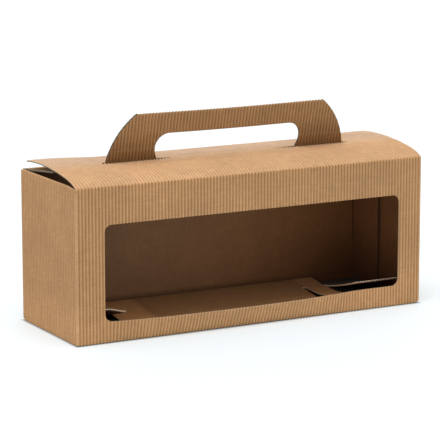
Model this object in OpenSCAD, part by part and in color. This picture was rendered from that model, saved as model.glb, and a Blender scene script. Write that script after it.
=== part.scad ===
// Jar gift box: one die-cut sheet of open-flute kraft board, folded and glued into a carrying carton.
// The front panel runs on over the top as the lid. The back panel runs on as an inner top panel and
// a doubled carrying handle, which comes up through the slot in the lid. The bottom snaps together.
// X runs along the window, Y from the window front to the back, Z up. Z = 0 is the flute crests below.

/* [Carton] */
// Width of the carton along the window
carton_w = 264; // [232:2.4:312]
// Depth from the window front to the back
carton_d = 86.4; // [76.8:2.4:105.6]
// Height up to the folds at the top
carton_h = 104; // [94:1:130]

/* [Board] */
// Thickness of the smooth liner
liner_t = 0.4; // [0.3:0.05:0.5]
// Height of the open flutes on the liner
flute_h = 0.7; // [0.5:0.05:0.8]
// Distance from crest to crest of the flutes
flute_pitch = 2.4; // [2:0.1:3.2]
// Gap left where a flap turns past its neighbour
fold_gap = 0.3; // [0.2:0.05:0.4]

/* [Window] */
// Board left of the window
window_left = 20.5; // [16:0.5:26]
// Board right of the window
window_right = 17.9; // [14:0.1:26]
// Height of the strip below the window
window_sill = 14.3; // [12:0.1:18]
// Height of the window
window_h = 64; // [52:1:66]
// Radius of the window's corners
window_r = 5.2; // [3:0.1:9]

/* [Lid] */
// Depth of the lid from the front fold to its free rear edge
lid_d = 76.4; // [70:0.1:84]
// Rise of the lid's underside from the front fold up to the slot
lid_rise = 7.8; // [7:0.1:9]
// Length of the slot that the handle comes through
slot_l = 189.8; // [186:0.1:200]
// Width of the slot
slot_w = 3.6; // [3.5:0.1:5]

/* [Handle] */
// Width of the handle at its foot
handle_w = 183.5; // [160:0.5:184]
// Height of the handle above its fold
handle_h = 35.9; // [32:0.1:42]
// Height of the straight foot below the shoulders
foot_h = 2.6; // [2:0.1:4]
// Room beside the foot where it leaves the inner panel
foot_gap = 1; // [0.6:0.1:2]
// Radius of the handle's rounded shoulders
shoulder_r = 38.4; // [36:0.1:44]
// Width of the finger hole between its round ends
grip_w = 111; // [90:1:120]
// Height of the finger hole, all of it, as punched across the fold
grip_h = 25.6; // [20:0.1:27]
// Height of the finger hole's centre above the handle's fold
grip_up = 8.9; // [8:0.1:12]
// Forward lean of the handle
handle_lean = 13.5; // [12:0.5:14]

/* [Inner panel] */
// Distance of the handle's fold from the window front
fold_y = 40; // [39:0.1:41]
// Rise of the handle's fold above the carton's top folds
fold_rise = 4.65; // [4:0.05:5]

/* [Bottom] */
// Depth of the front flap's flat part
front_flap_d = 50; // [44:1:56]
// Floor left of the tongue, from the carton's left side
tongue_left = 62; // [50:1:80]
// Floor right of the tongue, from the carton's right side
tongue_right = 38; // [32:1:60]
// Rise of the tongue's tip where it meets the back panel
tongue_rise = 4.6; // [3.5:0.1:6]
// Distance of the slit from the tongue's right edge
slit_in = 13.8; // [10:0.1:20]
// Width of the slit
slit_w = 3.2; // [2:0.1:4]
// Length of the slit
slit_l = 30; // [20:1:34]
// Depth of the back flap's wings, along the board
wing_d = 60; // [50:1:62]
// Angle at which the wings stand up from the floor
wing_angle = 11.8; // [9:0.1:13]
// Gap between the tongue and the wing beside it
wing_gap = 1.2; // [0.8:0.1:3]
// Width of the end flaps
end_flap_w = 60; // [50:1:74]
// Depth of the end flaps
end_flap_d = 46; // [30:1:55]
// Width of the glue tab on the right end's inner face
tab_w = 29.6; // [20:0.1:34]

/* [Hidden] */
$fn = 48;

board_t = liner_t + flute_h;
half_w = carton_w / 2;
// Flutes are counted in even numbers, so that a crest stands on the middle of each panel
flutes_w = 2 * round(carton_w / flute_pitch / 2);
flutes_d = 2 * round(carton_d / flute_pitch / 2);
pitch_w = carton_w / flutes_w;
pitch_d = carton_d / flutes_d;
// Shares of the pitch, from a crest's middle to the end of its flat top and to the foot of its flank
crest = 0.15;
foot = 0.35;

// Fold line of the lid, in Y and Z
hinge_y = board_t;
hinge_z = carton_h - board_t;
// Fold line of the handle
fold_z = carton_h + fold_rise;
// Flaps and lid stay clear of the two ends by this much on each side
flap_half = half_w - board_t - fold_gap;
// Left and right edges of the tongue
tongue_x0 = tongue_left - half_w;
tongue_x1 = half_w - tongue_right;

// The slot's middle stands where the leaning handle passes the middle of the lid's board
lid_flat_z = hinge_z + lid_rise;
slot_y = fold_y - (lid_flat_z + board_t / 2 - fold_z) * tan(handle_lean);
// Arch of the lid: it rises from the front fold and runs level at the slot
arch_run = slot_y - slot_w / 2 - hinge_y;
arch_r = (arch_run * arch_run + lid_rise * lid_rise) / 2 / lid_rise;
arch_angle = asin(arch_run / arch_r);

// Inner top panel, from the back fold down-slope to the handle's fold
panel_run = carton_d - board_t - fold_y;
panel_slope = atan((fold_z - (carton_h - board_t / 2)) / panel_run);
panel_l = panel_run / cos(panel_slope);

handle_t = 2 * board_t;

// Ridge profile along a line: [place, drop below the crest], with a crest at every whole pitch
function ridges(first, last, pitch) = [
    for (k = [first : last], p = [[-foot, flute_h], [-crest, 0], [crest, 0], [foot, flute_h]])
        [(k + p[0]) * pitch, p[1]]
];

// Ridges that fit on a flap of the given half width, run out to its edges as plain liner
function flap_ridges(half, pitch) = let (n = floor(half / pitch - foot)) concat(
    [[-half, flute_h]], ridges(-n, n, pitch), [[half, flute_h]]
);

// Ridges of one carton side, from the corner crest to the corner crest
function side_ridges(flutes, pitch) = let (h = flutes / 2) concat(
    [[(crest - h) * pitch, 0], [(foot - h) * pitch, flute_h]],
    ridges(1 - h, h - 1, pitch),
    [[(h - foot) * pitch, flute_h], [(h - crest) * pitch, 0]]
);

function wall_outline() = let (w = side_ridges(flutes_w, pitch_w), d = side_ridges(flutes_d, pitch_d)) concat(
    [for (p = w) [p[0], p[1]]],
    [for (p = d) [half_w - p[1], carton_d / 2 + p[0]]],
    [for (p = w) [-p[0], carton_d - p[1]]],
    [for (p = d) [p[1] - half_w, carton_d / 2 - p[0]]]
);

// The frame's origin is under the middle of the carton
module place() { translate([0, -carton_d / 2, 0]) children(); }

// Flat board from Y = 0, liner down on Z = 0, flutes up and running along Y
module board(half, length) {
    rotate([90, 0, 0]) translate([0, 0, -length]) linear_extrude(length)
        polygon(concat([[-half, 0]],
            [for (p = flap_ridges(half, pitch_w)) [p[0], board_t - p[1]]],
            [[half, 0]]));
}

// The same board with the flutes down
module board_down(half, length) { translate([0, 0, board_t]) mirror([0, 0, 1]) board(half, length); }

module rounded_rect(w, h, r) {
    square([w - 2 * r, h], center = true);
    square([w, h - 2 * r], center = true);
    for (x = [-1, 1], y = [-1, 1]) translate([x * (w / 2 - r), y * (h / 2 - r)]) circle(r);
}

// Bar along X, round about a fold line
module roll(half, r, y, z) {
    translate([-half, y, z]) rotate([0, 90, 0]) cylinder(r = r, h = 2 * half);
}

// The same with twelve flat sides, for a fold that the flutes on both sides run into
module fold_bar(half, r, y, z) {
    translate([-half, y, z]) rotate([90, 0, 90]) linear_extrude(2 * half)
        polygon([for (a = [15 : 30 : 345]) [r * cos(a), r * sin(a)]]);
}

module window_cut() {
    w = carton_w - window_left - window_right;
    translate([(window_left - window_right) / 2, 2 * board_t, window_sill + window_h / 2])
        rotate([90, 0, 0]) linear_extrude(3 * board_t) rounded_rect(w, window_h, window_r);
}

module walls() {
    difference() {
        linear_extrude(carton_h) difference() {
            polygon(wall_outline());
            translate([-half_w + board_t, board_t]) square([carton_w - 2 * board_t, carton_d - 2 * board_t]);
        }
        window_cut();
        // Between the ends, the front panel stops short of the lid's fold bead
        roll(half_w - board_t, board_t + fold_gap, hinge_y, hinge_z);
        translate([board_t - half_w, -board_t, hinge_z]) cube([carton_w - 2 * board_t, 2 * board_t, 2 * board_t]);
        // The back wall ends at its fold, which is round
        translate([board_t - half_w, carton_d - board_t, carton_h - board_t])
            cube([carton_w - 2 * board_t, 2 * board_t, 2 * board_t]);
    }
    fold_bar(flap_half, board_t - fold_gap / 10, carton_d - board_t, carton_h - board_t);
}

module glue_tab() {
    translate([half_w - 2 * board_t, carton_d - board_t - tab_w, board_t])
        cube([board_t, tab_w, carton_h - 3 * board_t]);
}

// Inner top panel, with its part of the punched finger hole and room for the handle's feet
module inner_panel() {
    difference() {
        translate([0, carton_d - board_t, carton_h - board_t]) mirror([0, 1, 0])
            rotate([panel_slope, 0, 0]) board(flap_half, panel_l);
        roll(handle_w / 2 + foot_gap, handle_t / 2 + fold_gap, fold_y, fold_z);
        at_handle() translate([0, handle_t, 0]) rotate([90, 0, 0]) linear_extrude(3 * handle_t) grip_outline();
    }
}

// A stretch of board between two places across the carton, on the same run of flutes as the panels
function row_mid(x0, x1) = pitch_w * round((x0 + x1) / 2 / pitch_w);
function row_half(x0, x1) = (x1 - x0) / 2;

// Front flap: flat on the ground, then a tongue that rises over the back flap to the back wall
module front_flap() {
    start = front_flap_d - board_t;
    run = carton_d - board_t - fold_gap - start;
    slope = atan(tongue_rise / run);
    translate([0, board_t / 2, 0]) board_down(flap_half, front_flap_d - board_t / 2);
    translate([row_mid(tongue_x0, tongue_x1), start, fold_gap / 6]) rotate([slope, 0, 0])
        board_down(row_half(tongue_x0, tongue_x1), run / cos(slope));
}

// Back flap: cut out round the tongue, so that one wing at each end stands up off the floor
module wing(x0, x1) {
    translate([row_mid(x0, x1), carton_d - board_t / 2, 0]) mirror([0, 1, 0]) rotate([wing_angle, 0, 0])
        board_down(row_half(x0, x1), wing_d);
}

// End flap, flutes along X, lying on the front flap under the wing
module end_flap(side) {
    translate([side * (half_w - board_t / 2), carton_d - board_t - end_flap_w / 2 - fold_gap, board_t])
        rotate([0, 0, side * 90]) board_down(end_flap_w / 2, end_flap_d);
}

module bottom() {
    difference() {
        front_flap();
        translate([tongue_x1 - slit_in - slit_w, front_flap_d - slit_l / 2, -board_t])
            cube([slit_w, slit_l, 6 * board_t]);
    }
    wing(-flap_half, tongue_x0 - wing_gap);
    wing(tongue_x1 + wing_gap, flap_half);
    for (side = [-1, 1]) end_flap(side);
}

module carton() {
    color("#c49a6c") place() {
        walls();
        glue_tab();
        inner_panel();
        bottom();
    }
}

// Lid: a round fold bead, an arched stretch up to the slot and a flat stretch behind it
module lid() {
    color("#d8b184") place() difference() {
        union() {
            roll(flap_half, board_t - fold_gap / 6, hinge_y, hinge_z);
            translate([0, hinge_y + arch_run, lid_flat_z - arch_r]) rotate([0, 90, 0]) rotate([0, 0, 180])
                rotate_extrude(angle = arch_angle) polygon(concat(
                    [[arch_r, -flap_half]],
                    [for (p = flap_ridges(flap_half, pitch_w)) [arch_r + board_t - p[1], p[0]]],
                    [[arch_r, flap_half]]));
            translate([0, hinge_y + arch_run, lid_flat_z]) board(flap_half, lid_d - hinge_y - arch_run);
        }
        translate([-slot_l / 2, slot_y - slot_w / 2, lid_flat_z - board_t])
            cube([slot_l, slot_w, 3 * board_t]);
    }
}

// Places children drawn upright about X on the handle's fold, leaning forward with it
module at_handle() { translate([0, fold_y, fold_z]) rotate([handle_lean, 0, 0]) children(); }

module grip_outline() {
    translate([0, grip_up]) {
        square([grip_w - grip_h, grip_h], center = true);
        for (s = [-1, 1]) translate([s * (grip_w - grip_h) / 2, 0]) circle(grip_h / 2);
    }
}

module handle_outline() {
    shoulder_x = handle_w / 2 - shoulder_r;
    difference() {
        intersection() {
            union() {
                translate([-handle_w / 2, 0]) square([handle_w, foot_h]);
                translate([-shoulder_x, 0]) square([2 * shoulder_x, handle_h]);
                for (s = [-1, 1]) translate([s * shoulder_x, foot_h]) circle(shoulder_r, $fn = 96);
            }
            translate([-handle_w / 2, 0]) square([handle_w, handle_h]);
        }
        grip_outline();
    }
}

// Handle: the board doubled over at the top, liners together and flutes on both faces
module handle() {
    rows = flap_ridges(handle_w / 2 + pitch_w, pitch_w);
    n = len(rows);
    color("#8a6440") place() at_handle() {
        intersection() {
            linear_extrude(handle_h) polygon(concat(
                [for (p = rows) [p[0], p[1] - board_t]],
                [for (i = [n - 1 : -1 : 0]) [rows[i][0], board_t - rows[i][1]]]));
            translate([0, handle_t, 0]) rotate([90, 0, 0]) linear_extrude(2 * handle_t) handle_outline();
        }
    }
}

carton();
lid();
handle();
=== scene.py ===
from math import atan2, cos, hypot, pi, radians, sin, sqrt

import bmesh
import bpy
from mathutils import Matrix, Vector


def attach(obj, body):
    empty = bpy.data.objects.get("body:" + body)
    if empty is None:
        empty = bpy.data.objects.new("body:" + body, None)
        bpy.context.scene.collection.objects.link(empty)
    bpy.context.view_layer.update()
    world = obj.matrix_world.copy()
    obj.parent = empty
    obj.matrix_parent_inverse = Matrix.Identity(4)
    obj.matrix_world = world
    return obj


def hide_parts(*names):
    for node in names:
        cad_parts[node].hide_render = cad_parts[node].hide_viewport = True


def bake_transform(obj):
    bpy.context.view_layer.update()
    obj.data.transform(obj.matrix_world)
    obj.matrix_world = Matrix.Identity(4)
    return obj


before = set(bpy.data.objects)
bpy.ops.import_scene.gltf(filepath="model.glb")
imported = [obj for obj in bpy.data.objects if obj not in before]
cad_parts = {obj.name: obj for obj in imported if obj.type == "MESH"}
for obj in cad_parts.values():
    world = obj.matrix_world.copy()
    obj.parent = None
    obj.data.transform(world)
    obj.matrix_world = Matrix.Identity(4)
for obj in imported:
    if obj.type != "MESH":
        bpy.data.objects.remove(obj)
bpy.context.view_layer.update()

# Carton walls. One strip of open-flute kraft board, a waved medium glued on a smooth liner, folded
# round the four sides. It starts as the glue tab inside the right end and ends over that tab.

MM = 0.001
HALF_W, HALF_D, HEIGHT = 0.1320, 0.0432, 0.1040
PITCH = 0.0024                # crest to crest of the flutes
BOARD = 0.0011                # crest to the liner's inner face
SWING = 0.00031               # half the wave's height
LINER_AT = 0.00078            # depth of the liner's outer face below the crests
CORNER = 0.0011               # radius of the folds, on the crests
TAB_W = 0.0334
FLAP_HALF = 0.1306            # half the width of the inner panel and flaps
WALL_TOP = 0.1008             # front and back end here, where their folds begin


TROUGH = (0.70, 0.635, 0.53)  # painted shade: what the troughs of the flutes keep of the colour
SHADED = (0.22, 0.16, 0.11)   # painted shade: what a liner keeps where it is darkest


def kraft(name, colour, along="Z", fibre=1.0, trough=TROUGH, shades=(), tint=None):
    """Kraft paper: cloudy tone, short fibres, streaks along the flutes, dark specks, and painted
    shade in the troughs with painted light on the crests.

    Each shade is painted light or shade: an axis, two places on it and the factor that the tone
    reaches at the second. tint, painted light or shade as well, is an axis, two places and the colour
    that is reached at the second.
    """
    material = bpy.data.materials.new(name)
    material.use_nodes = True
    nodes, links = material.node_tree.nodes, material.node_tree.links
    nodes.clear()
    out = nodes.new("ShaderNodeOutputMaterial")
    shader = nodes.new("ShaderNodeBsdfPrincipled")
    shader.inputs["Roughness"].default_value = 0.82
    shader.inputs["Specular IOR Level"].default_value = 0.18
    shader.inputs["Sheen Weight"].default_value = 0.05
    shader.inputs["Sheen Roughness"].default_value = 0.6
    links.new(shader.outputs["BSDF"], out.inputs["Surface"])
    where = nodes.new("ShaderNodeTexCoord")
    axes = nodes.new("ShaderNodeSeparateXYZ")
    links.new(where.outputs["Object"], axes.inputs[0])
    waves = nodes.new("ShaderNodeAttribute")
    waves.attribute_name = "trough"

    def noise(scale, detail=3.0, stretch=None, roughness=0.55):
        source = where.outputs["Object"]
        if stretch:
            mapping = nodes.new("ShaderNodeMapping")
            mapping.inputs["Scale"].default_value = stretch
            links.new(source, mapping.inputs["Vector"])
            source = mapping.outputs["Vector"]
        node = nodes.new("ShaderNodeTexNoise")
        node.inputs["Scale"].default_value = scale
        node.inputs["Detail"].default_value = detail
        node.inputs["Roughness"].default_value = roughness
        links.new(source, node.inputs["Vector"])
        return node.outputs["Fac"]

    def spread(value, low, high, start=0.3, end=0.7):
        node = nodes.new("ShaderNodeMapRange")
        node.inputs["From Min"].default_value = start
        node.inputs["From Max"].default_value = end
        node.inputs["To Min"].default_value = low
        node.inputs["To Max"].default_value = high
        links.new(value, node.inputs["Value"])
        return node.outputs["Result"]

    def times(first, second):
        node = nodes.new("ShaderNodeMath")
        node.operation = "MULTIPLY"
        links.new(first, node.inputs[0])
        links.new(second, node.inputs[1])
        return node.outputs[0]

    stretch = {"X": (0.06, 1, 1), "Y": (1, 0.06, 1), "Z": (1, 1, 0.06)}[along]
    cross = {"X": (1, 0.12, 0.12), "Y": (0.12, 1, 0.12), "Z": (0.12, 0.12, 1)}[along]
    clouds = spread(noise(26, 3), 0.93, 1.07)
    mottle = spread(noise(210, 4), 0.95, 1.05)
    streaks = spread(noise(900, 2, stretch), 0.95, 1.05)
    fibres = spread(noise(1500, 3, cross), 1 - 0.09 * fibre, 1 + 0.09 * fibre)
    tone = times(times(clouds, mottle), times(streaks, fibres))
    # Painted light and shade, ramped along the axes
    for axis, start, end, factor in shades:
        tone = times(tone, spread(axes.outputs[axis], 1, factor, start, end))
    specks = nodes.new("ShaderNodeValToRGB")
    specks.color_ramp.elements[0].position = 0.26
    specks.color_ramp.elements[0].color = (0.55, 0.50, 0.45, 1)
    specks.color_ramp.elements[1].position = 0.32
    specks.color_ramp.elements[1].color = (1, 1, 1, 1)
    links.new(noise(2300, 1.5), specks.inputs["Fac"])
    base = nodes.new("ShaderNodeVectorMath")
    base.operation = "SCALE"
    base.inputs[0].default_value = colour
    # A painted change of light or shade in the colour itself, along an axis
    if tint:
        axis, start, end, other = tint
        blend = nodes.new("ShaderNodeMix")
        blend.data_type = "RGBA"
        links.new(spread(axes.outputs[axis], 0, 1, start, end), blend.inputs["Factor"])
        blend.inputs[6].default_value = (*colour, 1)
        blend.inputs[7].default_value = (*other, 1)
        links.new(blend.outputs[2], base.inputs[0])
    links.new(tone, base.inputs["Scale"])
    mixed = nodes.new("ShaderNodeVectorMath")
    mixed.operation = "MULTIPLY"
    links.new(base.outputs[0], mixed.inputs[0])
    links.new(specks.outputs["Color"], mixed.inputs[1])
    # Painted light on the crests (1.06) and painted shade in the troughs, from the 'trough' attribute; on
    # liners that attribute holds their painted shade instead
    depths = nodes.new("ShaderNodeMix")
    depths.data_type = "RGBA"
    links.new(spread(waves.outputs["Fac"], 0, 1, 0.05, 0.95), depths.inputs["Factor"])
    depths.inputs[6].default_value = (1.06, 1.06, 1.06, 1)
    depths.inputs[7].default_value = (*trough, 1)
    shaded = nodes.new("ShaderNodeVectorMath")
    shaded.operation = "MULTIPLY"
    links.new(mixed.outputs[0], shaded.inputs[0])
    links.new(depths.outputs[2], shaded.inputs[1])
    links.new(shaded.outputs[0], shader.inputs["Base Color"])
    bump = nodes.new("ShaderNodeBump")
    bump.inputs["Strength"].default_value = 0.25
    bump.inputs["Distance"].default_value = 0.0001
    links.new(times(fibres, mottle), bump.inputs["Height"])
    links.new(bump.outputs["Normal"], shader.inputs["Normal"])
    return material


def steps(*stops):
    """Places along a line: start, then pairs of the next stop and the number of steps up to it."""
    places = [stops[0]]
    for end, count in zip(stops[1::2], stops[2::2]):
        start = places[-1]
        places += [start + (end - start) * (k + 1) / count for k in range(count)]
    return places


def waved(start, end, per_flute=8, origin=0.0):
    """Places across the flutes, several to each flute, with a crest at the origin."""
    step = PITCH / per_flute
    first, last = round((start - origin) / step), round((end - origin) / step)
    return [start] + [origin + k * step for k in range(first + 1, last)] + [end]


def card(name, us, vs, at, depth, core, faces, cut=None, paint=None):
    """A sheet from a grid. at gives each place's crest point and outward normal.

    depth is how far the outer face lies below the crests, a function for the waved medium and a number
    for the liner, and core the same for the inner face. paint gives its painted shade, from 0 to 1;
    without it the medium's troughs get painted shade from their depth.
    """
    n_u, n_v = len(us) - 1, len(vs) - 1
    bm = bmesh.new()
    bmesh.ops.create_grid(bm, x_segments=n_u, y_segments=n_v, size=1)
    place = bm.verts.layers.int.new("place")
    trough = bm.verts.layers.float.new("trough")
    for vert in bm.verts:
        i, j = round((vert.co.x + 1) / 2 * n_u), round((vert.co.y + 1) / 2 * n_v)
        vert[place] = i * (n_v + 1) + j
    if cut:
        gone = []
        for face in bm.faces:
            middle = face.calc_center_median()
            i, j = int((middle.x + 1) / 2 * n_u), int((middle.y + 1) / 2 * n_v)
            if cut(us[i], us[i + 1], vs[j], vs[j + 1]):
                gone.append(face)
        bmesh.ops.delete(bm, geom=gone, context="FACES")
    inside = {}
    for vert in bm.verts:
        u, v = us[vert[place] // (n_v + 1)], vs[vert[place] % (n_v + 1)]
        point, out = at(u, v)
        surface = depth(u, v) if callable(depth) else depth
        # painted shade in the troughs, deepest where the wave is deepest
        dark = min(surface / (2 * SWING), 1) if callable(depth) else 0
        vert.co = point - out * surface
        vert[trough] = paint(u, v) if paint else dark
        inside[vert[place]] = point - out * core
    outer = set(bm.verts)
    sheet = bmesh.ops.extrude_face_region(bm, geom=bm.faces[:], use_keep_orig=True)
    for item in sheet["geom"]:
        if isinstance(item, bmesh.types.BMVert):
            item.co = inside[item[place]]
    bmesh.ops.recalc_face_normals(bm, faces=bm.faces[:])
    for face in bm.faces:
        face.smooth = True
        shared = sum(vert in outer for vert in face.verts)
        face.material_index = 1 if 0 < shared < len(face.verts) else 0
    for edge in bm.edges:
        edge.smooth = len({face.material_index for face in edge.link_faces}) == 1
    bm.verts.layers.int.remove(place)
    mesh = bpy.data.meshes.new(name)
    bm.to_mesh(mesh)
    bm.free()
    piece = bpy.data.objects.new(name, mesh)
    bpy.context.collection.objects.link(piece)
    for material in faces:
        mesh.materials.append(material)
    return piece


KRAFT = (0.50, 0.285, 0.135)
# Painted light low down on the walls, below the window, and a painted highlight along the top row of flutes
board_face = kraft("kraft_flutes", KRAFT, "Z", shades=(
    ("Z", 0.028, 0.012, 1.1), ("Z", 0.1026, 0.1034, 1.2)))
# A darker copy of the kraft, painted shade for the carton's inside, darker still towards the right
board_liner = kraft("kraft_liner", (0.29, 0.157, 0.079), "X", 0.7, SHADED,
                    tint=("X", -0.05, 0.12, (0.232, 0.094, 0.029)))
# Painted highlight on the top edges, and a painted line of shade at the glue tab's edge (the 8.0 undoes it
# beyond the tab)
board_edge = kraft("kraft_cut_edge", (0.50, 0.33, 0.19), "X", shades=(
    ("Z", 0.1015, 0.1028, 1.7), ("X", 0.1290, 0.1296, 0.12), ("X", 0.1309, 0.1311, 8.0)))

# The path round the walls: straight runs and corner arcs, as length, start, direction and normal
path = []


def run(x, y, along, length, normal):
    path.append(("run", length, Vector((x, y)), Vector(along), Vector(normal)))


def bend(x, y, start):
    path.append(("bend", CORNER * pi / 2, Vector((x, y)), start, None))


TAB_X = HALF_W - BOARD
run(TAB_X, HALF_D - BOARD - TAB_W, (0, 1), TAB_W + BOARD - CORNER, (1, 0))
bend(TAB_X - CORNER, HALF_D - CORNER, 0)
run(TAB_X - CORNER, HALF_D, (-1, 0), TAB_X + HALF_W - 2 * CORNER, (0, 1))
bend(-HALF_W + CORNER, HALF_D - CORNER, 90)
run(-HALF_W, HALF_D - CORNER, (0, -1), 2 * (HALF_D - CORNER), (-1, 0))
bend(-HALF_W + CORNER, -HALF_D + CORNER, 180)
run(-HALF_W + CORNER, -HALF_D, (1, 0), 2 * (HALF_W - CORNER), (0, -1))
bend(HALF_W - CORNER, -HALF_D + CORNER, 270)
run(HALF_W, -HALF_D + CORNER, (0, 1), 2 * HALF_D - CORNER - 0.0002, (1, 0))
starts = [sum(part[1] for part in path[:k]) for k in range(len(path) + 1)]
BACK_0 = starts[2] + TAB_X - CORNER       # where the strip passes x = 0 on the back and on the front
FRONT_0 = starts[6] + HALF_W - CORNER
folds = [starts[k] + part[1] / 2 for k, part in enumerate(path) if part[0] == "bend"]


def round_walls(u):
    """Crest point and outward normal at a length along the strip."""
    k = max(k for k in range(len(path)) if u >= starts[k] - 1e-9)
    kind, length, place, along, normal = path[k]
    s = u - starts[k]
    if kind == "run":
        return place + along * s, normal
    angle = radians(along) + s / CORNER
    normal = Vector((cos(angle), sin(angle)))
    return place + normal * CORNER, normal


# Window: margins, sill, height and corner radius
WINDOW = (-HALF_W + 0.0205, HALF_W - 0.0179)
SILL, HEAD, WINDOW_R = 0.0143, 0.0783, 0.0052
BOW = radians(21.8)           # outward lean of the strip below the window where it bows most
BOW_SHAPE = ((20.5, 0), (34, 0.45), (62, 0.84), (100, 0.98), (136, 1),
             (170, 0.86), (195, 0.5), (210, 0.1), (218, 0))       # mm from the left, share of the lean


def smooth_through(knots, x):
    """A smooth curve through knots of place and value."""
    if x <= knots[0][0]:
        return knots[0][1]
    if x >= knots[-1][0]:
        return knots[-1][1]
    k = max(k for k in range(len(knots) - 1) if x >= knots[k][0])
    (x0, y0), (x1, y1) = knots[k], knots[k + 1]
    before = knots[k - 1] if k else knots[k]
    after = knots[k + 2] if k + 2 < len(knots) else knots[k + 1]
    m0 = (y1 - before[1]) / (x1 - before[0])
    m1 = (after[1] - y0) / (after[0] - x0)
    t, h = (x - x0) / (x1 - x0), x1 - x0
    return ((2 * t ** 3 - 3 * t * t + 1) * y0 + (t ** 3 - 2 * t * t + t) * h * m0
            + (3 * t * t - 2 * t ** 3) * y1 + (t ** 3 - t * t) * h * m1)


def corner_lift(x):
    """Height that the window's rounded corners take at x."""
    inside = min(x - WINDOW[0], WINDOW[1] - x)
    if inside >= WINDOW_R:
        return 0.0
    return WINDOW_R - sqrt(max(WINDOW_R ** 2 - (WINDOW_R - max(inside, 0)) ** 2, 0))


def ramp(value, start, end):
    """Runs from 0 to 1 as the value goes from start to end."""
    return min(max((value - start) / (end - start), 0.0), 1.0)


WORN_UP, WORN_WIDE = 0.0013, 0.0030


def foot_lift(u):
    """The bottom is worn round at three of the corners."""
    return WORN_UP * max(0.0, 1 - min(abs(u - folds[k]) for k in (0, 1, 3)) / WORN_WIDE)


BACK_CREASE = 0.0677          # a soft upright crease in the back panel
END_DIP = 0.0012              # the ends are this much lower at their front corners
TOP_ROUND = 0.0030            # radius of their back corners
CREASE_DEEP, CREASE_WIDE = 0.0007, 0.0050
PRESS_LINE = 2.52             # row of the faint pressed line above the window
PRESSED = 0.0018              # the flutes are pressed this far to each side of a fold
NOTCH = 0.0016                # half the notch at the foot of the front left corner
# Rows: the foot's bend below 0, the strip below the window to 1, the window to 2, above it to 3, and
# to 4 the ends alone
wall_rows = [-3, -2, -1] + steps(0, 1, 4, 2, 6) + [2.25, 2.49, PRESS_LINE, 2.55, 2.8, 3, 4]


def wall_at(u, v):
    spot, normal = round_walls(u)
    if v < 0:
        tilt = radians(-v * 30)
        inward = CORNER * (1 - cos(tilt))
        point = Vector((*(spot - normal * inward), CORNER * (1 - sin(tilt)) + foot_lift(u)))
        return point, Vector((*(normal * cos(tilt)), -sin(tilt)))
    x = u - FRONT_0
    lift = corner_lift(x)
    sill, head = SILL + lift, HEAD - lift
    if v <= 1:
        foot = CORNER + foot_lift(u)
        z = foot + (sill - foot) * v
    elif v <= 2:
        z = sill + (head - sill) * (v - 1)
    elif v <= 3:
        z = head + (WALL_TOP - head) * (v - 2)
    else:
        z = HEIGHT - END_DIP * ramp(spot.y, 0.012 - HALF_D, -HALF_D)
        z -= TOP_ROUND * (1 - sqrt(1 - ramp(spot.y, HALF_D - TOP_ROUND, HALF_D) ** 2))
    y = spot.y
    if u < starts[4]:
        y -= CREASE_DEEP * max(0.0, 1 - abs(spot.x - BACK_CREASE) / CREASE_WIDE)
    out = Vector((*normal, 0))
    if v <= 1 and WINDOW[0] < x < WINDOW[1]:
        lean = BOW * smooth_through(BOW_SHAPE, (x + HALF_W) / MM)
        y -= z * sin(lean)
        z *= cos(lean)
        out = Vector((0, -cos(lean), -sin(lean)))
    return Vector((spot.x, y, z)), out


def flute_wave(x, keep=1.0):
    """Depth of the wave below its crests, with a crest at each end of the front."""
    return SWING * (1 + keep * cos(2 * pi * x / PITCH))


def wall_wave(u, v):
    wave = flute_wave(u - (BACK_0 if u < starts[4] else FRONT_0))
    if v < 0:
        wave *= 0.6
    elif abs(v - PRESS_LINE) < 0.02:
        wave = wave * 0.5 + 0.4 * SWING
    near = min(abs(u - place) for place in folds)
    fold = max(0.0, 1 - near / PRESSED)
    return wave * (1 - fold) + 0.1 * SWING * fold


def wall_cut(u0, u1, v0, v1):
    u, v = (u0 + u1) / 2, (v0 + v1) / 2
    x = u - FRONT_0
    if 1 < v < 2 and WINDOW[0] < x < WINDOW[1]:
        return True
    if v > 3 and (u < starts[4] or starts[5] < u < starts[8]):
        return True
    if v < 0 and abs(u - folds[2]) < NOTCH:
        return True
    return v < 0 and u < starts[1] + CORNER * 0.7


def wall_places(per_flute):
    wide = PITCH / per_flute
    places = set()
    for k, part in enumerate(path):
        count = max(6 if part[0] == "bend" else 1, round(part[1] / wide))
        places.update(starts[k] + part[1] * n / count for n in range(count + 1))
    fixed = [FRONT_0 + x for x in WINDOW]
    places = [u for u in places if all(abs(u - f) > wide * 0.3 for f in fixed)] + fixed
    if per_flute < 4:
        for end, way in ((fixed[0], 1), (fixed[1], -1)):
            places += [end + way * WINDOW_R * (1 - cos(radians(a))) for a in range(10, 91, 10)]
    return sorted(places)


TAB_LINE = starts[8] + 2 * HALF_D - BOARD - TAB_W - CORNER - 0.0007      # just before the tab's edge, for a painted line of shade


def wall_shade(u, v):
    """Painted shade on the liner, 0 to 1: in the corners, at the tab's edge, at the foot, low down on the
    right and under the lid.
    """
    spot, z = round_walls(u)[0], wall_at(u, v)[0].z
    lines = max(0.0, 1 - min(abs(u - place) for place in (folds[0], folds[1], TAB_LINE)) / 0.0020)
    low = 0.6 * ramp(spot.x, 0.03, 0.12) * ramp(z, 0.052, 0.012)
    return max(lines, low, 0.7 * ramp(z, 0.0105, 0.0055), 0.8 * ramp(z, 0.078, 0.092))


flutes = card("carton_flutes", wall_places(6), wall_rows, wall_at, wall_wave, LINER_AT,
              (board_face, board_edge), wall_cut)
liner = card("carton_liner", wall_places(2), wall_rows, wall_at, LINER_AT, BOARD,
             (board_liner, board_edge), wall_cut, wall_shade)
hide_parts("carton")
for piece in (flutes, liner):
    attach(piece, "carton")

# Lid. The front panel runs on over its top fold, rises in an arch to the slit and sinks a little to a
# free rear edge with two raised corners. The slit is open round the handle's legs, closed between.

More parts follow.
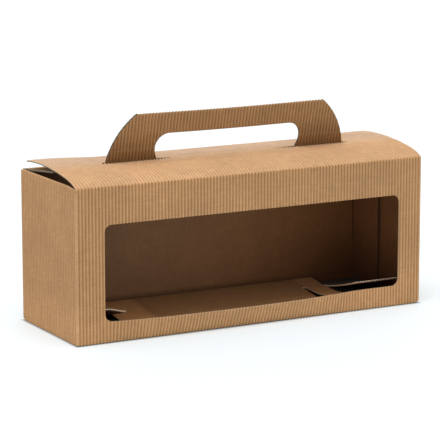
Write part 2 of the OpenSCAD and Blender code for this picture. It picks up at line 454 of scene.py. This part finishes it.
HINGE = Vector((0, -HALF_D + BOARD, HEIGHT - BOARD))
LID_HALF = 0.1316
LID_END = 0.0764              # free rear edge, from the front
LID_START = 0.00066           # the lid proper starts here, the fold before it
SLIT_HALF, SLIT_Y = 0.0946, 0.039376
SLIT_OPEN = 0.0019            # half the slit's width at the legs
SLIT_LEG, SLIT_TIP = 0.0520, 0.0035        # fully open from here outwards, and this short of its ends
LIP = 0.0006                  # the slit's front lip stands up this much in the middle
LEG_OUT = 0.0910
# Height over the depth from the front, both in mm, over the middle of the carton and at its ends
LID_MIDDLE = ((0.65, 104.0), (3, 105.2), (8, 107.1), (15, 108.7), (22.5, 109.8), (29, 110.7),
              (35.5, 111.35), (42, 111.6), (48, 111.45), (56, 111.1), (64, 110.6), (70, 110.2),
              (76.4, 109.6))
LID_SIDES = ((0.65, 104.3), (3, 105.6), (8, 107.4), (15, 108.95), (22.5, 110.1), (29, 111.0),
             (35.5, 111.5), (42, 112.1), (48, 112.3), (56, 112.45), (64, 112.3), (70, 111.9), (76.4, 111.3))
# Painted light: a lighter copy of the kraft for the lid, which faces the light, paler still towards its
# rear edge as a painted sheen
lid_face = kraft("kraft_lid", (0.61, 0.375, 0.203), "Y", trough=(0.83, 0.76, 0.67),
                 tint=("Y", -0.014, 0.004, (0.595, 0.41, 0.275)))
# A darker copy of the kraft liner, painted shade under the lid
lid_under = kraft("kraft_lid_liner", (0.22, 0.12, 0.058), "X", 0.7)
lid_edge = kraft("kraft_lid_edge", (0.17, 0.135, 0.09), "X")


def lid_height(x, y):
    side = ramp(abs(x) / MM, 78, 120)
    side *= side * (3 - 2 * side)
    return (smooth_through(LID_MIDDLE, y) * (1 - side) + smooth_through(LID_SIDES, y) * side) * MM


def lid_line(x, y):
    """Crest point and normal of the lid at a depth y from the front."""
    rise = (lid_height(x, y / MM + 0.05) - lid_height(x, y / MM - 0.05)) / (0.1 * MM)
    long = hypot(1, rise)
    return Vector((0, y - HALF_D, lid_height(x, y / MM))), Vector((0, -rise / long, 1 / long))


def slit_open(x):
    """Half the width of the slit at x: open round the legs, closed between them and at its ends."""
    closed = 0.026 if x > 0 else 0.038
    x = abs(x)
    if x >= SLIT_HALF:
        return 0.0
    inner = ramp(x, closed, SLIT_LEG)
    outer = min((SLIT_HALF - x) / SLIT_TIP, 1)
    return SLIT_OPEN * inner * inner * (3 - 2 * inner) * sqrt(max(outer, 0))


def lid_at(x, v):
    front = v <= 1
    if front:
        y = LID_START + (SLIT_Y - LID_START) * v
    else:
        y = SLIT_Y + (LID_END - SLIT_Y) * (v - 1.001) / 0.999
    point, normal = lid_line(x, y)
    near = max(0.0, 1 - abs(y - SLIT_Y) / 0.006)
    pull = slit_open(x) * near ** 1.5
    if abs(y - SLIT_Y) < 1e-6:
        pull = slit_open(x)
    point = point + Vector((x, -pull if front else pull, 0))
    middle = max(0.0, 1 - abs(x) / 0.05)
    lift = LIP * min(1, 1.6 * middle) * max(0.0, 1 - abs(y - SLIT_Y) / 0.012)
    if front:
        point.z += lift
        point.y += lift * 0.4
    else:
        point.z -= lift * 0.5
    return point, normal


lid_rows = steps(0, 0.03, 1, 0.9, 12, 1, 4) + steps(1.001, 1.08, 4, 2, 10)


def lid_cut(x0, x1, v0, v1):
    return v0 >= 1 and v1 <= 1.0011 and abs(x0 + x1) / 2 < SLIT_HALF


lid_flutes = card("lid_flutes", waved(-LID_HALF, LID_HALF), lid_rows, lid_at,
                  lambda x, v: flute_wave(x), LINER_AT, (lid_face, lid_edge), lid_cut)
lid_liner = card("lid_liner", waved(-LID_HALF, LID_HALF, 2), lid_rows, lid_at,
                 LINER_AT, BOARD, (lid_under, lid_edge), lid_cut)
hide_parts("lid")
for piece in (lid_flutes, lid_liner):
    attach(piece, "lid")


# The fold between front panel and lid, a narrow strip of the same board bent round the hinge.
def lid_fold_at(x, v):
    if v <= 0:
        return Vector((x, -HALF_D, HINGE.z + (HINGE.z - WALL_TOP) * v)), Vector((0, -1, 0))
    start, lid_normal = lid_line(x, LID_START)
    angle = radians(180) + (atan2(lid_normal.z, lid_normal.y) - radians(180)) * v
    normal = Vector((0, cos(angle), sin(angle)))
    point = HINGE + normal * BOARD
    join = start - (HINGE + lid_normal * BOARD)
    return point + join * v * v + Vector((x, 0, 0)), normal


fold_rows = steps(-1, 0, 2, 1, 6)
strip = card("lid_fold_flutes", waved(-LID_HALF, LID_HALF), fold_rows, lid_fold_at,
             lambda x, v: flute_wave(x), 0.00070, (board_face, lid_edge))
strip_liner = card("lid_fold_liner", waved(-LID_HALF, LID_HALF, 1), fold_rows, lid_fold_at,
                   0.00070, 0.00095, (board_liner, lid_edge))
for piece in (strip, strip_liner):
    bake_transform(piece)

# Inner top panel. The back panel runs on over its top fold and slopes up under the lid to the fold
# of the handle, liner down. Beside the handle its front edge is free.

FOLD = Vector((0, -0.0032, 0.10865))
ROLL = 0.0030                 # radius of the roll at the top of the back panel, on the crests
BACK_TOP = Vector((0, HALF_D - ROLL, 0.1016))
PANEL_TILT = 0.10525          # upward slope of the panel, so that its middle plane meets the handle's fold
slope = Vector((0, -cos(PANEL_TILT), sin(PANEL_TILT)))
UP = Vector((0, slope.z, -slope.y))
PANEL = (FOLD - BACK_TOP).dot(slope)
HOLE_HALF, HOLE_MID = 0.0556, 0.0111       # finger hole: half its length, height where it is longest
LOW_X, LOW_R = 0.0399, 0.0157              # its lower ends, and its tighter upper ends
HIGH_X, HIGH_R = 0.0455, 0.0101
LAP = 0.0030                  # the bending strip reaches this far from the fold
SIDE_LAP = 0.0032             # the panel's free front edge stands this far beyond the fold
# Painted shade on the inner panel round the slit, under the lid
panel_face = kraft("kraft_inner_flutes", (0.48, 0.28, 0.14), "Y",
                   shades=(("Y", 0.008, 0.002, 0.2),))


def hole_edge(x):
    """Lower edge of the finger hole at x, from the handle's fold, up to its middle height."""
    away = max(abs(x) - LOW_X, 0)
    return HOLE_MID - sqrt(max(LOW_R ** 2 - away ** 2, 0)) if away < LOW_R else HOLE_MID


def panel_at(x, v):
    """v runs 0 to 1 round the back fold, 1 to 2 up the panel, 2 to 3 on to the free front edge."""
    if v <= 0:
        return Vector((x, HALF_D, BACK_TOP.z + (BACK_TOP.z - WALL_TOP) * v)), Vector((0, 1, 0))
    if v < 1:
        angle = atan2(UP.z, UP.y) * v
        normal = Vector((0, cos(angle), sin(angle)))
        return BACK_TOP + Vector((x, 0, 0)) + normal * ROLL, normal
    end = PANEL - max(LAP, -hole_edge(x))
    s = end * (v - 1) if v <= 2 else end + (PANEL + SIDE_LAP - end) * (v - 2)
    return BACK_TOP + Vector((x, 0, 0)) + slope * s + UP * ROLL, UP


def panel_cut(x0, x1, v0, v1):
    return v0 >= 2 and abs(x0 + x1) / 2 < LEG_OUT + 0.0012


panel_rows = steps(-1, 0, 1, 1, 10, 2, 12, 3, 3)
inner = card("inner_panel_flutes", waved(-FLAP_HALF, FLAP_HALF), panel_rows, panel_at,
             lambda x, v: flute_wave(x), LINER_AT, (panel_face, lid_edge), panel_cut)
inner_liner = card("inner_panel_liner", waved(-FLAP_HALF, FLAP_HALF, 2), panel_rows, panel_at,
                   LINER_AT, BOARD, (board_liner, lid_edge), panel_cut)
for piece in (inner, inner_liner):
    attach(piece, "carton")

# Handle. The same sheet turns up at its fold, runs up, doubles over at the top and comes down in
# front, so both faces show flutes. A long finger hole is punched through both layers.

HANDLE_H, HANDLE_X = 0.0363, -0.0005
SHOULDER_X, SHOULDER_Z, SHOULDER_R = 0.0375, -0.00614, 0.05427
TOP_HALF = SHOULDER_X + sqrt(SHOULDER_R ** 2 - (HANDLE_H - SHOULDER_Z) ** 2)
LEAN = radians(13.5)
SAG, SAG_HALF = 0.0005, 0.0600             # the bar hangs this much in its middle
# A darker copy of the kraft, painted shade for the handle that leans forward; its legs darker still towards
# the foot, more painted shade
handle_face = kraft("kraft_handle", (0.40, 0.218, 0.098), "Z", trough=(0.68, 0.64, 0.56),
                    tint=("Z", 0.131, 0.113, (0.240, 0.115, 0.038)))
# Painted shade: cut edges as dark as if in shadow, with their open flutes
handle_edge = kraft("kraft_handle_edge", (0.12, 0.085, 0.055), "X")


def leaning(x, y, z):
    return FOLD + Vector((x + HANDLE_X, 0, 0)) + turned(y, z)


def turned(y, z):
    return Vector((0, y * cos(LEAN) - z * sin(LEAN), y * sin(LEAN) + z * cos(LEAN)))


def shoulder(x):
    """Top edge of the handle at x."""
    away = max(abs(x) - SHOULDER_X, 0)
    return min(HANDLE_H, SHOULDER_Z + sqrt(max(SHOULDER_R ** 2 - away ** 2, 0)))


def hole_span(x):
    """Lower and upper edge of the finger hole at x."""
    if abs(x) >= HOLE_HALF:
        return HOLE_MID, HOLE_MID
    away = max(abs(x) - HIGH_X, 0)
    return hole_edge(x), HOLE_MID + sqrt(HIGH_R ** 2 - away ** 2)


HANDLE_START = 0.0026


def layer_height(x, v):
    """Height in a layer: v runs 0 to 1 below the finger hole, 1 to 2 across it, 2 to 3 above it."""
    low, high = hole_span(x)
    top = HANDLE_H - BOARD if abs(x) <= TOP_HALF else shoulder(x)
    high = min(high, top - 0.0001)
    low = min(max(low, HANDLE_START), top - 0.0002)
    if v <= 1:
        return HANDLE_START + (low - HANDLE_START) * v
    if v <= 2:
        return low + (high - low) * (v - 1)
    return high + (top - high) * (v - 2)


def handle_at(x, v):
    """v runs 0 to 3 up the rear layer, to 4 over the top, to 7 down the front, to 8 below the lid."""
    sag = SAG * cos(min(abs(x) / SAG_HALF, 1) * pi / 2)
    if v <= 3:
        z = layer_height(x, v)
        return leaning(x, BOARD, z - sag * ramp(z, 0, HOLE_MID + HIGH_R)), turned(1, 0)
    if v < 4:
        angle = radians(180) * (v - 3)
        y, z = cos(angle), sin(angle)
        return leaning(x, y * BOARD, HANDLE_H - BOARD + z * BOARD - sag), turned(y, z)
    if v <= 7:
        z = layer_height(x, 7 - v)
        return leaning(x, -BOARD, z - sag * ramp(z, 0, HOLE_MID + HIGH_R)), turned(-1, 0)
    return leaning(x, -BOARD, HANDLE_START - 0.0020 * (v - 7)), turned(-1, 0)


def handle_cut(x0, x1, v0, v1):
    x, v = abs(x0 + x1) / 2, (v0 + v1) / 2
    if 3 < v < 4:
        return x > TOP_HALF
    up = v if v < 3 else 7 - v
    low, high = hole_span(x)
    if 1 < up < 2:
        return x < HOLE_HALF
    return up < 1 and low < HANDLE_START


def handle_wave(x, v):
    """The wave, pressed nearly flat by the die along the outline and the finger hole."""
    if 3 < v < 4:
        return flute_wave(x, 0.8)
    up = v if v <= 3 else 7 - v
    z = layer_height(x, up)
    low, high = hole_span(x)
    near = min(abs(z - low), abs(z - high)) if abs(x) < HOLE_HALF else 1
    if abs(x) > TOP_HALF:
        near = min(near, shoulder(x) - z)
    return flute_wave(x, 0.3 + 0.7 * ramp(near, 0, 0.0010))


layer_rows = steps(0, 0.85, 2, 1, 1, 2, 3, 2.07, 1, 2.93, 5, 3, 1)
handle_rows = layer_rows + steps(3, 4, 8)[1:-1] + [7 - v for v in reversed(layer_rows)] + [8]
foot = LEG_OUT - 0.00001


def handle_places(per_flute):
    places = {HOLE_HALF, TOP_HALF}
    places.update(SHOULDER_X + SHOULDER_R * cos(radians(a)) for a in range(10, 51, 2))
    places.update(LOW_X + LOW_R * cos(radians(a)) for a in range(4, 60, 4))
    places.update(HIGH_X + HIGH_R * cos(radians(a)) for a in range(6, 90, 6))
    corners = sorted(x for x in places if x < foot)
    kept = [x for k, x in enumerate(corners) if k == 0 or x - corners[k - 1] > 0.00004]
    kept += [-x for x in kept]
    between = [x for x in waved(-foot, foot, per_flute) if all(abs(x - k) > 0.00004 for k in kept)]
    return sorted(kept + between)


handle = card("handle_flutes", handle_places(8), handle_rows, handle_at,
              handle_wave, LINER_AT, (handle_face, handle_edge), handle_cut)
handle_liner = card("handle_liner", handle_places(2), handle_rows, handle_at,
                    LINER_AT, 0.00105, (handle_face, handle_edge), handle_cut, lambda x, v: 0)
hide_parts("handle")
for piece in (handle, handle_liner):
    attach(piece, "handle")


# The handle's fold, a narrow strip of the same board bent from the panel up to the leaning handle.
def handle_fold_at(x, v):
    """v runs 0 to 1 from the panel to the handle's foot."""
    corner = FOLD + Vector((HANDLE_X, 0, 0)) + UP * BOARD / 2
    start = corner - slope * LAP
    t = v * (min(HANDLE_START, hole_edge(x)) + LAP) / (HANDLE_START + LAP)
    end = leaning(0, BOARD, HANDLE_START)
    bend_at = corner + turned(0.0006, 0)
    point = start * (1 - t) ** 2 + bend_at * 2 * t * (1 - t) + end * t * t
    tangent = (bend_at - start) * (1 - t) + (end - bend_at) * t
    tangent.x = 0
    tangent.normalize()
    return point + Vector((x, 0, 0)), Vector((0, tangent.z, -tangent.y))


def handle_fold_cut(x0, x1, v0, v1):
    return hole_edge(min(abs(x0), abs(x1))) < -LAP + 0.0001


strip_rows = steps(0, 1, 8)
for name, per_flute, depth, core, face in (
        ("flutes", 8, lambda x, v: flute_wave(x), LINER_AT, handle_face),
        ("liner", 2, LINER_AT, BOARD, board_liner)):
    piece = card("handle_fold_" + name, waved(-foot, foot, per_flute), strip_rows, handle_fold_at,
                 depth, core, (face, handle_edge), handle_fold_cut)
    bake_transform(piece)

# Bottom. The front flap lies on the ground and its tongue rises to the back panel. The back flap is
# cut out round the tongue, so a wing stands up off the floor at each end over the two end flaps.

FLOOR_0 = -HALF_D + CORNER
TONGUE_Y, TONGUE = 0.0050, (-0.0770, 0.0940)
TONGUE_RISE = 0.0047
FLOOR_1 = HALF_D - BOARD - 0.0010          # the tongue stops 1 mm short of the back panel
SLIT = (0.0765, 0.0788)
SLIT_FLOOR = (-0.0150, 0.0240)
STRIP_RISE = 0.0024           # the strip right of the slit stands up this much where it shows most
WING_RUN = 0.0599
WING_SLOPE, WING_CURVE = 0.084, 2.06       # the wings rise by slope * s + curve * s * s, in metres
WING_IN, WING_UP = 0.0120, 0.0027          # the left wing's inner corner stands in and up this much
# Painted shade beyond the tongue's ends, under the wings, and towards the back; painted light left of the
# tongue's crease and right of the slit
floor_liner = kraft("kraft_floor", (0.495, 0.25, 0.097), "X", 0.7, shades=(
    ("X", 0.0945, 0.0955, 0.10), ("X", -0.0775, -0.0785, 0.10), ("X", -0.049, -0.054, 1.5),
    ("X", 0.0786, 0.0788, 1.3), ("Y", 0.0, 0.040, 0.65)))
# Painted shade on the wings, dark towards the back
wing_liner = kraft("kraft_wing", (0.46, 0.27, 0.14), "X", 0.7, shades=(("Y", -0.014, 0.004, 0.12),))
shade_liner = kraft("kraft_under_wing", (0.035, 0.02, 0.01), "X")
# Painted highlight: the flaps' cut edges much paler than the other cut edges, as edges in the light
wing_edge = kraft("kraft_wing_edge", (0.95, 0.75, 0.55), "X", trough=(0.5, 0.45, 0.4))


def floor_at(x, v):
    """v runs 0 to 1 along the flat part, 1 to 2 up the tongue to the back panel."""
    if v <= 1:
        point, normal = Vector((x, FLOOR_0 + (TONGUE_Y - FLOOR_0) * v, 0)), Vector((0, 0, -1))
    else:
        long = hypot(FLOOR_1 - TONGUE_Y, TONGUE_RISE)
        point = Vector((x, TONGUE_Y + (FLOOR_1 - TONGUE_Y) * (v - 1), TONGUE_RISE * (v - 1)))
        normal = Vector((0, TONGUE_RISE / long, -(FLOOR_1 - TONGUE_Y) / long))
    if SLIT[1] - 0.00001 <= x <= TONGUE[1] + 0.00001 and SLIT_FLOOR[0] < point.y < SLIT_FLOOR[1]:
        away = (SLIT_FLOOR[1] - point.y) / 0.030
        point.z += STRIP_RISE * (away if away < 1 else max(0.0, 1 - (away - 1) / 0.3))
    return point, normal


def floor_cut(x0, x1, v0, v1):
    x, v = (x0 + x1) / 2, (v0 + v1) / 2
    if v > 1 and not TONGUE[0] < x < TONGUE[1]:
        return True
    y = floor_at(x, v)[0].y
    return SLIT[0] < x < SLIT[1] and SLIT_FLOOR[0] < y < SLIT_FLOOR[1]


SLIT_V = ((SLIT_FLOOR[0] - FLOOR_0) / (TONGUE_Y - FLOOR_0),
          1 + (SLIT_FLOOR[1] - TONGUE_Y) / (FLOOR_1 - TONGUE_Y))
floor_rows = steps(0, SLIT_V[0], 4, 1, 8, SLIT_V[1], 6, 2, 3)


def floor_places(per_flute):
    fixed = [*TONGUE, *SLIT]
    places = [x for x in waved(-FLAP_HALF, FLAP_HALF, per_flute) if all(abs(x - f) > 0.0001 for f in fixed)]
    return sorted(places + fixed)


def flap_pair(name, places, rows, at, cut=None, lining=board_liner, edge=board_edge):
    """Flutes and liner of one flap of the bottom."""
    flap = card(name + "_flutes", places(8), rows, at, lambda x, v: flute_wave(x), LINER_AT,
                (board_face, edge), cut)
    flap_liner = card(name + "_liner", places(2), rows, at, LINER_AT, BOARD, (lining, edge), cut)
    for piece in (flap, flap_liner):
        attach(piece, "carton")


flap_pair("front_flap", floor_places, floor_rows, floor_at, floor_cut, floor_liner, wing_edge)


WINGS = (("left", -1, -FLAP_HALF, -0.0720), ("right", 1, 0.0952, FLAP_HALF))


def wing_at(side):
    def at(x, v):
        s = WING_RUN * v
        rise = WING_SLOPE + 2 * WING_CURVE * s
        z = WING_SLOPE * s + WING_CURVE * s * s
        if side < 0:
            x -= WING_IN * v * max(0.0, (x + FLAP_HALF) / (FLAP_HALF + WINGS[0][3])) ** 2
            corner = ramp(x, -0.084, -0.097)
            z += WING_UP * v * v * corner * corner * (3 - 2 * corner)
        long = hypot(1, rise)
        return Vector((x, HALF_D - CORNER / 2 - s, z)), Vector((0, -rise / long, -1 / long))
    return at


for name, side, x0, x1 in WINGS:
    flap_pair("wing_" + name, lambda n, x0=x0, x1=x1: waved(x0, x1, n), steps(0, 1, 16),
              wing_at(side), None, wing_liner, wing_edge)

END_FLAP = (-0.0186, 0.0414)  # front and back edge of the end flaps
END_FLAP_D = 0.0460           # how far they reach in


def end_flap_at(side):
    def at(y, v):
        x = HALF_W - CORNER - END_FLAP_D * v
        return Vector((side * x, y, BOARD)), Vector((0, 0, -1))
    return at


for name, side in (("left", -1), ("right", 1)):
    flap_pair("end_flap_" + name, lambda n: waved(*END_FLAP, n), steps(0, 1, 4),
              end_flap_at(side), None, shade_liner)

# Studio: a white floor with a shadow painted under the carton, a wide soft sun overhead, a dim white
# surround, and the photograph's camera.

floor_bm = bmesh.new()
bmesh.ops.create_circle(floor_bm, cap_ends=True, segments=96, radius=9)
floor_mesh = bpy.data.meshes.new("studio_floor")
floor_bm.to_mesh(floor_mesh)
floor_bm.free()
ground = bpy.data.objects.new("studio_floor", floor_mesh)
bpy.context.collection.objects.link(ground)
ground_paint = bpy.data.materials.new("white_floor")
ground_paint.use_nodes = True
paint_nodes, paint_links = ground_paint.node_tree.nodes, ground_paint.node_tree.links
ground_shader = paint_nodes["Principled BSDF"]
ground_shader.inputs["Roughness"].default_value = 0.5
ground_shader.inputs["Specular IOR Level"].default_value = 0.15
# The floor glows faintly to stay white; glow and floor colour are bluish, so the floor's shade turns
# bluish, a painted tint
ground_shader.inputs["Emission Color"].default_value = (0.9, 1.0, 1.04, 1)
spot = paint_nodes.new("ShaderNodeTexCoord")
sides = paint_nodes.new("ShaderNodeSeparateXYZ")
paint_links.new(spot.outputs["Object"], sides.inputs[0])


def paint_math(operation, first, second=None):
    node = paint_nodes.new("ShaderNodeMath")
    node.operation = operation
    paint_links.new(first, node.inputs[0])
    if isinstance(second, float):
        node.inputs[1].default_value = second
    elif second:
        paint_links.new(second, node.inputs[1])
    return node.outputs[0]


def paint_range(value, end, low, high):
    node = paint_nodes.new("ShaderNodeMapRange")
    node.inputs["From Max"].default_value = end
    node.inputs["To Min"].default_value = low
    node.inputs["To Max"].default_value = high
    paint_links.new(value, node.inputs["Value"])
    return node.outputs["Result"]


SHADOW_W, SHADOW_D, SHADOW_EDGE = HALF_W - 0.0022, HALF_D - 0.0018, 0.0040     # the painted shadow under the carton and its soft rim
beyond_x = paint_math("SUBTRACT", paint_math("ABSOLUTE", sides.outputs["X"]), SHADOW_W)
beyond_y = paint_math("SUBTRACT", paint_math("ABSOLUTE", sides.outputs["Y"]), SHADOW_D)
outside = paint_math("MAXIMUM", beyond_x, beyond_y)
# Painted shadow: no glow and a nearly black floor under the carton, fading out over its rim
paint_links.new(paint_range(outside, SHADOW_EDGE, 0.0, 0.25), ground_shader.inputs["Emission Strength"])
white = paint_nodes.new("ShaderNodeVectorMath")
white.operation = "SCALE"
white.inputs[0].default_value = (0.68, 0.72, 0.74)
paint_links.new(paint_range(outside, SHADOW_EDGE, 0.06, 1.0), white.inputs["Scale"])
paint_links.new(white.outputs[0], ground_shader.inputs["Base Color"])
floor_mesh.materials.append(ground_paint)

world = bpy.data.worlds.new("studio")
world.use_nodes = True
world.node_tree.nodes["Background"].inputs["Color"].default_value = (1, 1, 1, 1)
world.node_tree.nodes["Background"].inputs["Strength"].default_value = 0.67
bpy.context.scene.world = world
bpy.context.scene.view_settings.view_transform = "Standard"

sun_data = bpy.data.lights.new("overhead", "SUN")
sun_data.energy = 1.85
sun_data.angle = radians(50)
sun = bpy.data.objects.new("overhead", sun_data)
sun.rotation_euler = Vector((0.16, 0.20, -0.97)).to_track_quat("-Z", "Y").to_euler()
bpy.context.collection.objects.link(sun)

camera_data = bpy.data.cameras.new("camera")
camera_data.sensor_width = 36
camera_data.lens = 190.5
camera = bpy.data.objects.new("camera", camera_data)
camera.location = (-0.75021, -1.36877, 0.37220)
camera.rotation_euler = Vector((0.46996, 0.86117, -0.19377)).to_track_quat("-Z", "Y").to_euler()
bpy.context.collection.objects.link(camera)
bpy.context.scene.camera = camera
